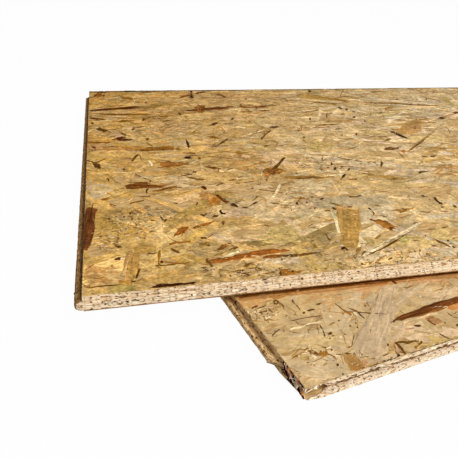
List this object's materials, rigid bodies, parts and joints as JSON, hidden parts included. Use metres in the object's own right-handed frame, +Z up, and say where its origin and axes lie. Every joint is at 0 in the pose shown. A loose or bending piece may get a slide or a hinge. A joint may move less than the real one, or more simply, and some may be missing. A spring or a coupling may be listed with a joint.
{
  "type": "stack of osb panels",
  "caption": "Tongue-and-groove oriented strand board flooring panels lying flat on each other, the upper one turned a little against the lower.",
  "frame": {"origin": "middle of the stack's footprint, on the floor", "axes": "+X along the lower panel's long edge, +Y from its grooved front edge to its back, +Z up"},
  "size_m": [2.17, 1.0538, 0.03],
  "materials": {
    "osb": "matt"
  },
  "bodies": {
    "root": {"lower_panel": "osb", "upper_panel": "osb"}
  },
  "joints": []
}
